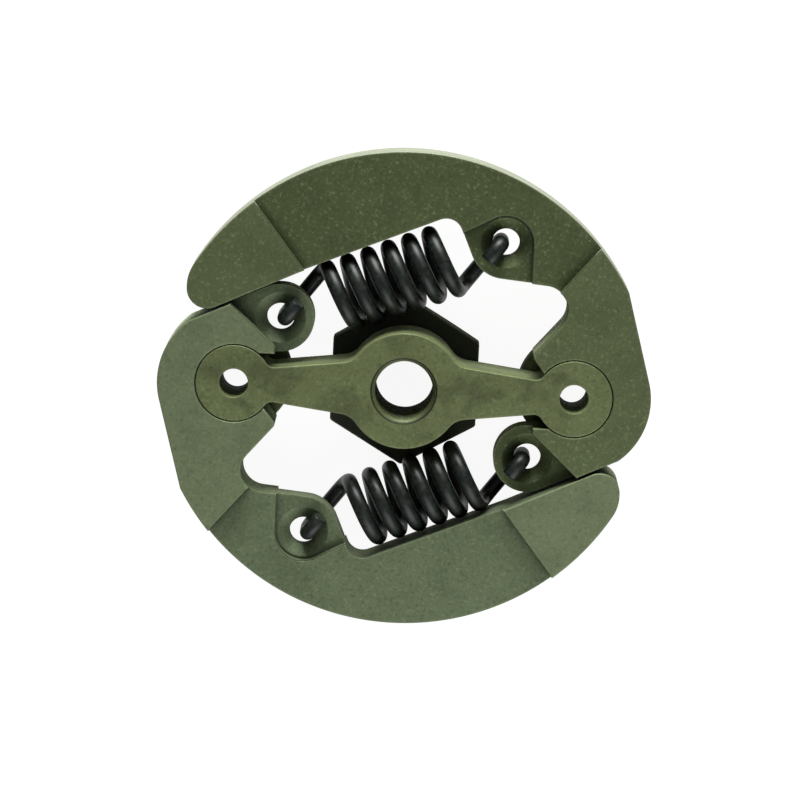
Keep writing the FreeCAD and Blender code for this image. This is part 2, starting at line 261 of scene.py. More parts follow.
def newMaterial(name):
    material = bpy.data.materials.new(name)
    material.use_nodes = True
    material.node_tree.nodes.clear()
    return material, material.node_tree


def mixed(tree, share, first, second):
    # colour mix whose share and colours are each a value or a (node, output)
    mix = addNode(tree, "ShaderNodeMix", {"data_type": "RGBA"})
    for place, source in ((0, share), (6, first), (7, second)):
        if isinstance(source, tuple):
            tree.links.new(source[0].outputs[source[1]], mix.inputs[place])
        else:
            mix.inputs[place].default_value = linear(source) if isinstance(source, str) else source
    return mix


def setRamp(node, stops):
    ramp = node.color_ramp
    while len(ramp.elements) > 1:
        ramp.elements.remove(ramp.elements[-1])
    ramp.elements[0].position, ramp.elements[0].color = stops[0]
    for position, colour in stops[1:]:
        ramp.elements.new(position).color = colour


# Steam-treated sintered steel: pressed iron powder with a grey-green oxide skin.
# The eye gets a dull, even face with a fine grain, faint pale specks where a grain is polished,
# dark pores, paler raised faces and rubbed rims, inner walls painted paler for bounced light, and painted shade in
# corners.
sinterLook = {
    "skin": "#505B38",
    "skinDark": "#45502E",  # cloudy parts of the skin
    "speck": "#8A966F",
    "pore": "#3A432B",
    # pale skin of rubbed rims, also the painted bounce light on inner walls
    "rubbedAndBounceLit": "#A0AA8A",
    # dark of the oil stains, also the painted shade in corners and deep down, and the darkening of the bore
    "oilAndShade": "#12150D",
    "grainSize": 0.35,      # mm; real powder grains are near 0.1 mm, drawn coarser to show
    "patchSize": 6.0,       # mm, cloudy change of the oxide's tone
    "speckSize": 0.9,       # mm between polished grains
    "speckShare": 0.09,     # how pale the polished grains are
    "raisedFrom": 10.4,     # mm, faces above this are the ones that tools and drum covers rub
    "raisedShare": 0.13,    # how pale they are rubbed
    "shadeAndOilBelow": -1.0,       # mm, what lies lower gets painted shade and oil
    "drumFrom": 26.8,       # mm from the shaft, walls beyond it run on the drum and are bare
    "bare": "#AEB39E",      # bare steel where it runs on the drum
    "bareDark": "#8A907A",
    "lineSize": 0.2,        # mm between the fine lines that the drum leaves round the arc
    "lineStretch": 25,      # how much longer than wide they are
    "boreTo": 3.9,          # mm from the shaft, nearer walls are the thread and its mouth, painted darker
    "bounceLightFrom": 9.6,        # mm, inner walls are painted paler below it, for light bounced up from the floor
    "bounceLightShare": 0.9,       # how pale the painted bounce light makes them at their foot
    "cornerShadeReach": 1.5,     # mm, corners closer than this get painted shade
    "rimReach": 0.35,       # mm, rims are rubbed this far in
    "rimRound": 0.12,       # mm, what the light sees of a rim's rounding
    "grainDepth": 0.06,     # mm
    "stainSize": 4.0,       # mm
    "stainShare": 0.12,     # how dark the oil stains are
    "roughness": 0.5,
    "metallic": 0.55,
}


def sinteredSteel(name, look):
    material, tree = newMaterial(name)
    place = addNode(tree, "ShaderNodeTexCoord")
    perMetre = 1 / millimetre
    patches = addNode(tree, "ShaderNodeTexNoise", {"Scale": perMetre / look["patchSize"], "Detail": 3.0},
                      {"Vector": (place, "Object")})
    grain = addNode(tree, "ShaderNodeTexNoise", {
        "Scale": perMetre / look["grainSize"], "Detail": 4.0, "Roughness": 0.65}, {"Vector": (place, "Object")})
    specks = addNode(tree, "ShaderNodeTexVoronoi", {"Scale": perMetre / look["speckSize"]},
                     {"Vector": (place, "Object")})
    base = addNode(tree, "ShaderNodeValToRGB", None, {"Fac": (patches, "Fac")})
    setRamp(base, [(0.35, linear(look["skinDark"])), (0.65, linear(look["skin"]))])
    grainTone = addNode(tree, "ShaderNodeValToRGB", None, {"Fac": (grain, "Fac")})
    setRamp(grainTone, [(0.3, linear(look["pore"])), (0.45, linear(look["skin"])),
                        (0.56, linear(look["skin"])), (0.72, linear(look["speck"]))])
    grained = mixed(tree, 0.6, (base, "Color"), (grainTone, "Color"))
    # a cell's middle is a polished grain, in the few cells that have one
    speckMask = addNode(tree, "ShaderNodeMapRange", {"From Min": 0.16, "From Max": 0.05},
                        {"Value": (specks, "Distance")})
    chosen = addNode(tree, "ShaderNodeMapRange", {"From Min": 0.62, "From Max": 0.8, "To Max": look["speckShare"]},
                     {"Value": (specks, "Color")})
    speckPick = addNode(tree, "ShaderNodeMath", {"operation": "MULTIPLY"},
                        {0: (speckMask, "Result"), 1: (chosen, "Result")})
    speckled = mixed(tree, (speckPick, "Value"), (grained, 2), look["speck"])

    # raised faces are rubbed paler, and some of the skin is stained
    height = addNode(tree, "ShaderNodeSeparateXYZ", None, {"Vector": (place, "Object")})
    raised = addNode(tree, "ShaderNodeMapRange", {
        "From Min": look["raisedFrom"] * millimetre, "From Max": (look["raisedFrom"] + 0.4) * millimetre,
        "To Max": look["raisedShare"]}, {"Value": (height, "Z")})
    lifted = mixed(tree, (raised, "Result"), (speckled, 2), look["speck"])
    stains = addNode(tree, "ShaderNodeTexNoise", {
        "Scale": perMetre / look["stainSize"], "Detail": 4.0, "Distortion": 0.6}, {"Vector": (place, "Object")})
    stain = addNode(tree, "ShaderNodeMapRange", {"From Min": 0.5, "From Max": 0.64, "To Max": look["stainShare"]},
                    {"Value": (stains, "Fac")})
    stained = mixed(tree, (stain, "Result"), (lifted, 2), look["oilAndShade"])

    # masks for upright walls and for the drum side
    flat = addNode(tree, "ShaderNodeVectorMath", {"operation": "MULTIPLY", 1: (1, 1, 0)},
                   {0: (place, "Object")})
    reach = addNode(tree, "ShaderNodeVectorMath", {"operation": "LENGTH"}, {0: (flat, "Vector")})
    outer = addNode(tree, "ShaderNodeMapRange", {
        "From Min": look["drumFrom"] * millimetre, "From Max": (look["drumFrom"] + 0.5) * millimetre,
        "To Max": 0.75}, {"Value": (reach, "Value")})
    surface = addNode(tree, "ShaderNodeNewGeometry")
    facing = addNode(tree, "ShaderNodeSeparateXYZ", None, {"Vector": (surface, "True Normal")})
    upright = addNode(tree, "ShaderNodeMath", {"operation": "ABSOLUTE"}, {0: (facing, "Z")})
    wall = addNode(tree, "ShaderNodeMapRange", {"From Min": 0.75, "From Max": 0.3},
                   {"Value": (upright, "Value")})

    # inner walls keep the rough skin that the die leaves, and are painted paler towards their foot for bounced
    # light
    pressed = addNode(tree, "ShaderNodeMath", {"operation": "SUBTRACT", "use_clamp": True},
                      {0: (wall, "Result"), 1: (outer, "Result")})
    depth = addNode(tree, "ShaderNodeMapRange", {
        "From Min": look["bounceLightFrom"] * millimetre, "From Max": (look["bounceLightFrom"] - 3.0) * millimetre,
        "To Max": look["bounceLightShare"]}, {"Value": (height, "Z")})
    paler = addNode(tree, "ShaderNodeMath", {"operation": "MULTIPLY"},
                    {0: (pressed, "Value"), 1: (depth, "Result")})
    walled = mixed(tree, (paler, "Value"), (stained, 2), look["rubbedAndBounceLit"])

    # painted shade darkens the corners, painted shade and oil darken what lies deep, and convex rims are rubbed
    # paler
    corner = addNode(tree, "ShaderNodeAmbientOcclusion", {
        "samples": 8, "Distance": look["cornerShadeReach"] * millimetre})
    corners = addNode(tree, "ShaderNodeMapRange", {"From Min": 0.85, "From Max": 0.25, "To Max": 0.85},
                      {"Value": (corner, "AO")})
    # painted shade and oil darken what lies below this height
    deep = addNode(tree, "ShaderNodeMapRange", {
        "From Min": look["shadeAndOilBelow"] * millimetre, "From Max": (look["shadeAndOilBelow"] - 0.5) * millimetre,
        "To Max": 0.9}, {"Value": (height, "Z")})
    cornerAndDeepDark = addNode(tree, "ShaderNodeMath", {"operation": "MAXIMUM"},
                  {0: (corners, "Result"), 1: (deep, "Result")})
    shadedAndOiled = mixed(tree, (cornerAndDeepDark, "Value"), (walled, 2), look["oilAndShade"])
    convex = addNode(tree, "ShaderNodeAmbientOcclusion", {
        "samples": 6, "inside": True, "Distance": look["rimReach"] * millimetre})
    rims = addNode(tree, "ShaderNodeMapRange", {"From Min": 0.85, "From Max": 0.4, "To Max": 0.35},
                   {"Value": (convex, "AO")})
    edged = mixed(tree, (rims, "Result"), (shadedAndOiled, 2), look["rubbedAndBounceLit"])

    # the thread is painted darker, most of all round its mouth
    inward = addNode(tree, "ShaderNodeMath", {"operation": "MULTIPLY", 1: perMetre / look["boreTo"]},
                     {0: (reach, "Value")})
    bored = addNode(tree, "ShaderNodeValToRGB", None, {"Fac": (inward, "Value")})
    someDark, mostDark, noDark = (0.3, 0.3, 0.3, 1), (0.85, 0.85, 0.85, 1), (0, 0, 0, 1)
    setRamp(bored, [(0.93, someDark), (0.95, mostDark), (0.985, mostDark), (1.0, noDark)])
    threaded = mixed(tree, (bored, "Color"), (edged, 2), look["oilAndShade"])

    # lines of wear run round the arc, so the pattern is drawn out along it
    stretch = look["lineStretch"]
    worn = addNode(tree, "ShaderNodeMath", {"operation": "MULTIPLY"}, {0: (outer, "Result"), 1: (wall, "Result")})
    drawn = addNode(tree, "ShaderNodeVectorMath", {"operation": "MULTIPLY", 1: (1, 1, stretch)},
                    {0: (place, "Object")})
    lines = addNode(tree, "ShaderNodeTexNoise", {"Scale": perMetre / (stretch * look["lineSize"]), "Detail": 3.0},
                    {"Vector": (drawn, "Vector")})
    lined = addNode(tree, "ShaderNodeValToRGB", None, {"Fac": (lines, "Fac")})
    setRamp(lined, [(0.38, linear(look["bareDark"])), (0.62, linear(look["bare"]))])
    finished = mixed(tree, (worn, "Value"), (threaded, 2), (lined, "Color"))

    # the rough walls shine less than the faces
    metal = addNode(tree, "ShaderNodeMapRange", {"To Min": look["metallic"], "To Max": 0.1},
                    {"Value": (pressed, "Value")})
    sheen = addNode(tree, "ShaderNodeMapRange", {"To Min": 0.5, "To Max": 0.08},
                    {"Value": (pressed, "Value")})
    soft = addNode(tree, "ShaderNodeBevel", {"samples": 4, "Radius": look["rimRound"] * millimetre})
    bump = addNode(tree, "ShaderNodeBump", {"Strength": 0.35, "Distance": look["grainDepth"] * millimetre},
                   {"Height": (grain, "Fac"), "Normal": (soft, "Normal")})
    sheer = addNode(tree, "ShaderNodeMapRange", {
        "To Min": look["roughness"] - 0.08, "To Max": look["roughness"] + 0.1}, {"Value": (grain, "Fac")})
    rough = addNode(tree, "ShaderNodeMath", {"operation": "MULTIPLY_ADD", 1: 0.35},
                    {0: (pressed, "Value"), 2: (sheer, "Result")})
    shader = addNode(tree, "ShaderNodeBsdfPrincipled", None, {
        "Base Color": (finished, 2), "Roughness": (rough, "Value"), "Normal": (bump, "Normal"),
        "Metallic": (metal, "Result"), "Specular IOR Level": (sheen, "Result")})
    addNode(tree, "ShaderNodeOutputMaterial", None, {"Surface": (shader, "BSDF")})
    return material


# Oil-blacked spring wire: drawn carbon steel, blackened and oiled.
# The eye gets near-black wire with long soft glints and faint draw lines.
wireLook = {
    "black": "#0A0E0B",
    "worn": "#28342B",
    "cut": "#4E5748",       # cropped ends
    "shade": "#020302",     # painted shade inside the coil
    "mottle": 0.6,          # mm
    "mottleDepth": 0.04,    # mm
    "coilShadeReach": 2.5,       # mm, wire closer than this to other wire gets painted shade
    "roughness": 0.41,
    "metallic": 0.2,
}


def blackedWire(name, look):
    material, tree = newMaterial(name)
    place = addNode(tree, "ShaderNodeTexCoord")
    perMetre = 1 / millimetre
    mottle = addNode(tree, "ShaderNodeTexNoise", {"Scale": perMetre / look["mottle"], "Detail": 3.0},
                     {"Vector": (place, "Object")})
    tone = addNode(tree, "ShaderNodeValToRGB", None, {"Fac": (mottle, "Fac")})
    setRamp(tone, [(0.4, linear(look["black"])), (0.95, linear(look["worn"]))])
    rough = addNode(tree, "ShaderNodeMapRange", {
        "To Min": look["roughness"] - 0.08, "To Max": look["roughness"] + 0.12}, {"Value": (mottle, "Fac")})
    bump = addNode(tree, "ShaderNodeBump", {"Strength": 0.12, "Distance": look["mottleDepth"] * millimetre},
                   {"Height": (mottle, "Fac")})
    # painted shade keeps the inside of the coil black and dims its reflections
    coilOcclusion = addNode(tree, "ShaderNodeAmbientOcclusion", {
        "samples": 8, "Distance": look["coilShadeReach"] * millimetre})
    sheen = addNode(tree, "ShaderNodeMapRange", {
        "From Min": 0.4, "From Max": 0.92, "To Min": 0.02, "To Max": 0.5}, {"Value": (coilOcclusion, "AO")})
    coilShadeMask = addNode(tree, "ShaderNodeMapRange", {"From Min": 0.3, "From Max": 0.8},
                     {"Value": (coilOcclusion, "AO")})
    coilShaded = mixed(tree, (coilShadeMask, "Result"), look["shade"], (tone, "Color"))
    shader = addNode(tree, "ShaderNodeBsdfPrincipled", {"Metallic": look["metallic"]},
                     {"Base Color": (coilShaded, 2), "Roughness": (rough, "Result"), "Normal": (bump, "Normal"),
                      "Specular IOR Level": (sheen, "Result")})
    addNode(tree, "ShaderNodeOutputMaterial", None, {"Surface": (shader, "BSDF")})
    return material


# hub with its hexagon, arms, lobes and left-hand thread
# millimetres, heights from the hexagon's back face
hubSizes = {
    "length": 11.0, "hexFlats": 17.0, "hexLength": 2.9, "hexChamferHeight": 0.76, "hexCorner": 0.45,
    "boss": 13.4, "bore": 6.65, "mouth": 7.5, "threadPitch": 1.25,
    "armBack": 3.5, "armRoot": 6.1, "armNeck": 4.0, "rootFillet": 2.5, "neckFillet": 1.0,
    "pivotSpacing": 39.1, "lobe": 8.8, "spannerHole": 3.3, "flange": 13.0, "flangeBack": 1.7,
    "edge": 0.12,
}
lobeX = hubSizes["pivotSpacing"] / 2
lobeRadius = hubSizes["lobe"] / 2
softBend = 0.3      # where the middle of a turned piece's rounded edge lies, as a share of the edge


def armRing(s):
    # half of one arm's side, from the boss's top to the lobe's tip, then mirrored three times
    boss = s["boss"] / 2
    root = s["armRoot"] / 2
    neck = s["armNeck"] / 2
    slope = math.atan((root - neck) / (lobeX - lobeRadius - boss))
    normal = Vector((math.sin(slope), math.cos(slope)))
    rootPoint = Vector((boss, root))
    level = normal.dot(rootPoint)
    # each fillet's centre is off the arm's side by its radius and off the round by the same
    places = []
    fillets = ((0, boss, s["rootFillet"], 1), (lobeX, lobeRadius, s["neckFillet"], -1))
    for centreX, big, small, side in fillets:
        along = Vector((normal.y, -normal.x))
        foot = normal * (level + small)
        offset = foot - Vector((centreX, 0))
        b = offset.dot(along)
        reach = math.sqrt(b * b - offset.length_squared + (big + small) ** 2)
        places.append((foot + along * (-b + side * reach), small))
    rootCentre, rootSmall = places[0]
    neckCentre, neckSmall = places[1]
    down = math.degrees(math.atan2(-normal.y, -normal.x))
    side = arcPoints((0, 0), boss, 90, angleOf(rootCentre, (0, 0)))
    side += arcPoints(rootCentre, rootSmall, angleOf((0, 0), rootCentre) + 360, down + 360)
    side += arcPoints(neckCentre, neckSmall, down + 360, angleOf((lobeX, 0), neckCentre) + 360)
    side += arcPoints((lobeX, 0), lobeRadius, angleOf(neckCentre, (lobeX, 0)), 0)
    lower = [Vector((p.x, -p.y)) for p in reversed(side)]
    half = side + lower
    return tidyRing(half + [-p for p in half])


def threadCutter(s):
    # screw-shaped solid: the crest of the internal thread is the bore, its root reaches the mouth
    sides = 72
    perTurn = 14            # rings in one turn
    over = 0.6
    # depth of the groove over one pitch, cut off flat at its root and crest
    flankSlope, rootWidth = 3.2, 1.25
    inner = s["bore"] / 2
    outer = s["mouth"] / 2 - 0.02
    low, high = -over, s["length"] + over
    rows = math.ceil((high - low) / s["threadPitch"] * perTurn)
    bm = bmesh.new()
    rings = []
    for row in range(rows + 1):
        z = low + (high - low) * row / rows
        outline = []
        for i in range(sides):
            phase = (z / s["threadPitch"] + i / sides) % 1
            depth = min(1, max(0, rootWidth - abs(phase - 0.5) * flankSlope))
            outline.append(polar((0, 0), inner + (outer - inner) * depth, 360 * i / sides))
        rings.append(ringAt(bm, outline, z))
    return closedSkin("threadCutter", bm, rings)


def buildHub(s, material):
    edge = s["edge"]
    length = s["length"]
    piece = softPrism("hubBody", armRing(s), s["armBack"], length, edge)

    # hexagon, its corners turned off towards the back
    flat = s["hexFlats"] / 2
    corner = flat / math.cos(math.radians(30))
    hexPoints = [polar((0, 0), corner, 30 + 60 * side) for side in range(6)]
    middles = [(hexPoints[i - 1] + hexPoints[i]) / 2 for i in range(6)]
    hexRing = []
    for i in range(6):
        hexRing += roundedRun([middles[i], hexPoints[i], middles[(i + 1) % 6]], [s["hexCorner"]], 0.1)
    hexagon = softPrism("hexBlock", tidyRing(hexRing), 0, s["hexLength"], edge, False)
    rise = s["hexChamferHeight"] / (corner - flat)
    wide = flat + 6
    cone = turned("hexCone", (0, 0), [
        (flat - 0.1, 0), (flat + 0.02, 0.12 * rise), (wide, 6 * rise), (wide, 6)], 128)
    combine(hexagon, [cone], "INTERSECT")

    # boss between hexagon and arms, and a flange behind each lobe; the cores run on inside their neighbours
    core = s["boss"] / 2 - 0.01
    rounds = [turned("bossCore", (0, 0), [(core, s["hexLength"] - 1), (core, s["armBack"] + 1)], 96)]
    flange = s["flange"] / 2
    low, high = s["flangeBack"], s["armBack"]
    bend = edge * softBend
    core = lobeRadius - 0.02
    for x in (-lobeX, lobeX):
        rounds.append(turned("flange", (x, 0), [
            (flange - edge, low), (flange - bend, low + bend), (flange, low + edge),
            (flange, high - edge), (flange - bend, high - bend), (flange - edge, high)], 96))
        rounds.append(turned("lobeCore", (x, 0), [(core, low + 0.5), (core, high + 1)], 64))
    combine(piece, [hexagon] + rounds, "UNION")

    over = 0.5
    pin = s["spannerHole"] / 2
    soft = edge * 0.8
    bend = soft * softBend
    holes = [turned("pinHole", (x, 0), [
        (pin + soft, low - over), (pin + soft, low), (pin + bend, low + bend), (pin, low + soft),
        (pin, length - soft), (pin + bend, length - bend), (pin + soft, length), (pin + soft, length + over)], 48)
        for x in (-lobeX, lobeX)]
    bore = s["bore"] / 2
    mouth = s["mouth"] / 2
    drop = mouth - bore
    wide, lip = mouth + 0.1, mouth - 0.02
    holes.append(turned("boreCut", (0, 0), [
        (wide, -over), (wide, 0), (lip, 0.06), (bore, drop),
        (bore, length - drop), (lip, length - 0.06), (wide, length), (wide, length + over)], 96))
    combine(piece, holes, "DIFFERENCE")
    combine(piece, [threadCutter(s)], "DIFFERENCE")
    cleanMesh(piece)
    shadeSurfaces(piece)
    piece.data.materials.clear()
    piece.data.materials.append(material)
    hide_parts("hub_spider")
    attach(piece, "hub")


# shoe that pivots on the right-hand lobe; the other is the same one turned half round
# millimetres and degrees; a step or an edge line is a point on it and the way it runs
shoeSizes = {
    "front": 11.0, "thickness": 7.4, "middleStep": 1.4, "plateStep": 2.5, "plate": 3.0,
    "edge": 0.14, "stepEdge": 0.08, "socketClearance": 0.1, "gap": 0.3,
    "friction": 28.86, "frictionCentre": (-0.01, -1.5),
    "heelAngle": 29.1, "heel": 8.819, "heelFlatAngle": 13.7,
    "toeAngle": 151.5, "toeTipRound": 4.5, "toeLand": 0.3, "toeEdge": (-12.6, 13.1), "toeEdgeAngle": 25.2,
    "innerEdgeAngle": 22.9, "slotX": 5.0, "slotRound": 1.9,
    "padHole": (10.9, 17.35), "pad": 4.15, "padRim": 3.2, "padRimAngle": 28.0,
    "pocketCorner": (21.1, 12.3), "pocketRound": 2.7, "horn": (14.55, 4.6), "hornRound": 0.4,
    "socketMouthAngle": 142.0, "earHole": (14.58, -7.5),
    "heelStep": (17.5, 12.3), "heelStepAngle": 49.9, "toeStep": (-12.1, 13.4), "toeStepAngle": 128.5,
    "earStep": (15.0, -4.3), "earStepAngle": 317.5, "earStepRound": 0.6,
    "hookHole": 3.2, "hookMouth": 5.6, "hookMouthDepth": 0.9, "hookBackMouth": 4.6, "hookBackMouthDepth": 0.4,
}


def shoeRing(s):
    lobe = (lobeX, 0)
    friction, frictionCentre = s["friction"], Vector(s["frictionCentre"])
    # the toe's tip is an arc that touches the friction arc and the toe's end
    tip = s["toeTipRound"]
    endX = polar(frictionCentre, friction, s["toeAngle"]).x
    across = endX + tip - frictionCentre.x
    tipCentre = frictionCentre + Vector((across, math.sqrt((friction - tip) ** 2 - across ** 2)))
    tipAngle = angleOf(tipCentre, frictionCentre)
    ring = arcPoints(frictionCentre, friction, s["heelAngle"], tipAngle, 0.5)
    heelTop = ring[0]
    ring += arcPoints(tipCentre, tip, tipAngle, 180)
    toeTop = ring[-1]
    toeCorner = meeting(s["toeEdge"], s["toeEdgeAngle"], toeTop, 90)
    toeRound = (toeTop.y - toeCorner.y - s["toeLand"]) / math.tan(math.radians(90 + s["toeEdgeAngle"]) / 2)
    slotCorner = meeting(s["toeEdge"], s["innerEdgeAngle"], (s["slotX"], 0), 90)
    padLeft = tangentPoint(slotCorner, s["padHole"], s["pad"], 1)
    ring += roundedRun([toeTop, toeCorner, Vector(s["toeEdge"]), slotCorner, padLeft],
                       [toeRound, 0, s["slotRound"]])
    padBottom = tangentPoint(s["pocketCorner"], s["padHole"], s["pad"], -1)
    start = angleOf(padLeft, s["padHole"]) % 360
    end = angleOf(padBottom, s["padHole"]) % 360
    ring += arcPoints(s["padHole"], s["pad"], start, end)
    socket = lobeRadius + s["socketClearance"]
    upperLip = polar(lobe, socket, s["socketMouthAngle"])
    ring += roundedRun([padBottom, Vector(s["pocketCorner"]), Vector(s["horn"]), upperLip],
                       [s["pocketRound"], s["hornRound"]])
    # the ear just clears the other shoe's toe
    edge = polar((0, 0), 1, s["toeEdgeAngle"])
    ear = Vector(s["earHole"])
    across = ear + Vector(s["toeEdge"])
    earRadius = edge.x * across.y - edge.y * across.x - s["gap"]
    lipY = ear.y + earRadius
    lowerLip = Vector((lobeX - math.sqrt(socket ** 2 - lipY ** 2), lipY))
    ring += arcPoints(lobe, socket, s["socketMouthAngle"], angleOf(lowerLip, lobe))
    ring += arcPoints(ear, earRadius, 90, s["toeEdgeAngle"] + 270)
    earLow = ring[-1]
    ahead = (Vector(lobe) - earLow).dot(edge)
    aside = (Vector(lobe) - earLow - edge * ahead).length
    heelLow = earLow + edge * (ahead + math.sqrt(s["heel"] ** 2 - aside ** 2))
    ring += arcPoints(lobe, s["heel"], angleOf(heelLow, lobe), s["heelFlatAngle"])
    ring.append(heelTop)
    return tidyRing(ring)


def middleRing(s):
    # the lower middle between the two steps, wide enough to clear the outline
    heelStep, toeStep = s["heelStep"], s["toeStep"]
    far = s["friction"]
    inside = 0.5
    first = polar(heelStep, -inside, s["heelStepAngle"])
    last = polar(toeStep, -inside, s["toeStepAngle"])
    below = min(s["padHole"][1] - s["pad"] - inside, first.y, last.y)
    return [first, polar(heelStep, far, s["heelStepAngle"]), Vector((0, 3 * far)),
            polar(toeStep, far, s["toeStepAngle"]), last, Vector((0, below))]


def padRing(s):
    # round the pad's hook hole, open towards the pocket
    hole, rim = s["padHole"], s["padRim"]
    ring = arcPoints(hole, rim, 0, s["padRimAngle"] + 90)
    outer = meeting(ring[-1], s["padRimAngle"], (s["slotX"], 0), 90)
    below = hole[1] - s["pad"] - 1
    return ring + [outer, Vector((outer.x, below)), Vector((hole[0] + rim, below))]


def earRing(s):
    # beyond the step across the ear
    step = Vector(s["earStep"])
    low = polar(step, 2 * s["heel"], s["earStepAngle"])
    left = s["earHole"][0] - s["heel"]
    run = roundedRun([Vector((step.x, 0)), step, low], [s["earStepRound"]])
    return run + [Vector((left, low.y)), Vector((left, 0))]


def buildShoe(name, node, body, s, material, halfTurn):
    front = s["front"]
    back = front - s["thickness"]
    middle = front - s["middleStep"]
    plateFront = front - s["plateStep"]
    plateBack = plateFront - s["plate"]
    edge = s["edge"]
    outline = shoeRing(s)

    # raised ends at full height, the middle one step lower, and thin plates that carry the hooks
    piece = softPrism(name, outline, back, front, edge)
    crisp = s["stepEdge"]
    combine(piece, [frontCutter("middleCut", middleRing(s), middle, front, crisp)], "DIFFERENCE")
    for ring, face in ((padRing(s), middle), (earRing(s), front)):
        combine(piece, [frontCutter("plateFrontCut", ring, plateFront, face, crisp)], "DIFFERENCE")
        combine(piece, [backCutter("plateBackCut", ring, back, plateBack, crisp)], "DIFFERENCE")

    hole, mouth, backMouth = s["hookHole"] / 2, s["hookMouth"] / 2, s["hookBackMouth"] / 2
    over = 0.5
    soft = 0.12
    holes = [turned("hookCut", centre, [
        (backMouth + soft, plateBack - over), (backMouth + soft, plateBack),
        (backMouth - soft, plateBack + soft), (hole, plateBack + s["hookBackMouthDepth"]),
        (hole, plateFront - s["hookMouthDepth"]), (mouth - soft, plateFront - soft),
        (mouth + soft, plateFront), (mouth + soft, plateFront + over)], 48)
        for centre in (s["padHole"], s["earHole"])]
    combine(piece, holes, "DIFFERENCE")
    cleanMesh(piece)
    shadeSurfaces(piece)
    if halfTurn:
        piece.data.transform(Matrix.Rotation(math.pi, 4, "Z"))
    piece.data.materials.clear()
    piece.data.materials.append(material)
    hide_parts(node)
    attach(piece, body)


# spring from the ear of one shoe to the pad of the other
# millimetres
springSizes = {
    "wire": 1.8, "coil": 7.2, "pitch": 2.48, "turns": 5.5, "depth": 4.5, "coilBend": 1.9,
    "hookBend": 1.0, "hookClearance": 0.1, "hookBack": 0.51, "hookAside": 0.17, "hookTip": 2.4, "hookRise": 0.4,
    "sides": 24, "perTurn": 48,
}
croppedEnd = ((0.93, 0.06), (0.8, 0.1))     # share of the wire's radius and mm past the end


def springPath(s, shoe):
    # centre line about the coil's middle, X along the coil and Z towards the front
    front = shoe["front"]
    centre = front - s["depth"]
    behind = front - shoe["plateStep"] - shoe["plate"] - s["wire"] / 2 - s["hookClearance"] - centre
    above = front - shoe["plateStep"] + s["wire"] / 2 + s["hookClearance"] - centre
    radius = s["coil"] / 2
    length = s["pitch"] * s["turns"]
    steps = int(s["turns"] * s["perTurn"])
    coil = []
    for step in range(steps + 1):
        angle = 2 * math.pi * s["turns"] * step / steps
        along = length * (step / steps - 0.5)
        coil.append(Vector((along, radius * math.cos(angle), radius * math.sin(angle))))
    leaving = Vector((s["pitch"] / (2 * math.pi * radius), 0, -1)).normalized()
    span = Vector(shoe["padHole"]) + Vector(shoe["earHole"])
    foot = coil[-1]
    knee = foot + leaving * (behind / leaving.z)
    rising = Vector((span.length / 2 - s["hookBack"], s["hookAside"], behind))
    arm = (rising - knee).normalized()
    over = Vector((rising.x, rising.y, above))
    tip = over - arm * s["hookTip"] + Vector((0, 0, s["hookRise"]))
    hook = roundedRun([foot, knee, rising, over, tip], [s["coilBend"], s["hookBend"], s["hookBend"]], 0.12)
    return coil, hook


def tube(name, path, radius, sides):
    # wire along a path, its frame carried along without twisting, with a cropped end
    bm = bmesh.new()
    points = [path[0]]
    for point in path[1:]:
        if (point - points[-1]).length > 0.02:
            points.append(point)
    tangent = (points[1] - points[0]).normalized()
    across = tangent.orthogonal().normalized()
    rings = []
    for i, point in enumerate(points):
        before = points[max(0, i - 1)]
        after = points[min(len(points) - 1, i + 1)]
        fresh = (after - before).normalized()
        across = (tangent.rotation_difference(fresh) @ across).normalized()
        across = (across - fresh * across.dot(fresh)).normalized()
        tangent = fresh
        other = tangent.cross(across)
        ring = []
        for k in range(sides):
            angle = 2 * math.pi * k / sides
            spot = point + (across * math.cos(angle) + other * math.sin(angle)) * radius
            ring.append(bm.verts.new(spot * millimetre))
        rings.append(ring)
    for below, above in zip(rings, rings[1:]):
        joinRings(bm, below, above, True)
    bm.faces.new(rings[0])
    # the cropped end is broken slightly round
    end = rings[-1]
    for shrink, out in croppedEnd:
        centre = points[-1] + tangent * out
        ring = []
        for base in rings[-1]:
            spot = centre + (base.co / millimetre - points[-1]) * shrink
            ring.append(bm.verts.new(spot * millimetre))
        joinRings(bm, end, ring, True)
        end = ring
    bm.faces.new(end).material_index = 1
    return newObject(name, bm)


def buildSpring(node, s, shoe, material, cutMaterial, halfTurn):
    # each spring is made as two halves, one for each hook
    coil, hook = springPath(s, shoe)
    path = coil[len(coil) // 2:] + hook[1:]
    turnAxis = Matrix.Rotation(math.pi, 4, "Z")
    padHole = Vector((*shoe["padHole"], 0))
    otherEar = -Vector((*shoe["earHole"], 0))
    span = padHole - otherEar
    middle = (padHole + otherEar) * 0.5 + Vector((0, 0, shoe["front"] - s["depth"]))
    lie = Matrix.Translation(middle * millimetre) @ Matrix.Rotation(math.atan2(span.y, span.x), 4, "Z")
    if halfTurn:
        lie = turnAxis @ lie
    for end, turn in (("Pad", Matrix.Identity(4)), ("Ear", turnAxis)):
        piece = tube(node + end, path, s["wire"] / 2, s["sides"])
        piece.data.transform(lie @ turn)
        piece.data.set_sharp_from_angle(angle=math.radians(50))
        piece.data.materials.append(material)
        piece.data.materials.append(cutMaterial)
        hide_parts(node)
        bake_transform(piece)


# floor, light and camera
# metres, degrees and millimetres of lens; the aim is the pixel where the bore's front end shows
studio = {
    "floorGlow": 0.8, "floorStrength": 1.15, "floorHalf": 1.5, "skyStrength": 0.26,
    "focal": 187.6, "sensor": 36.0, "distance": 0.478, "tilt": 8.33, "turn": 2.76, "side": 0.2,
    "aim": (403.8, 391.3), "frame": 800,
    "lampAim": (0, 0, 0.006),
}


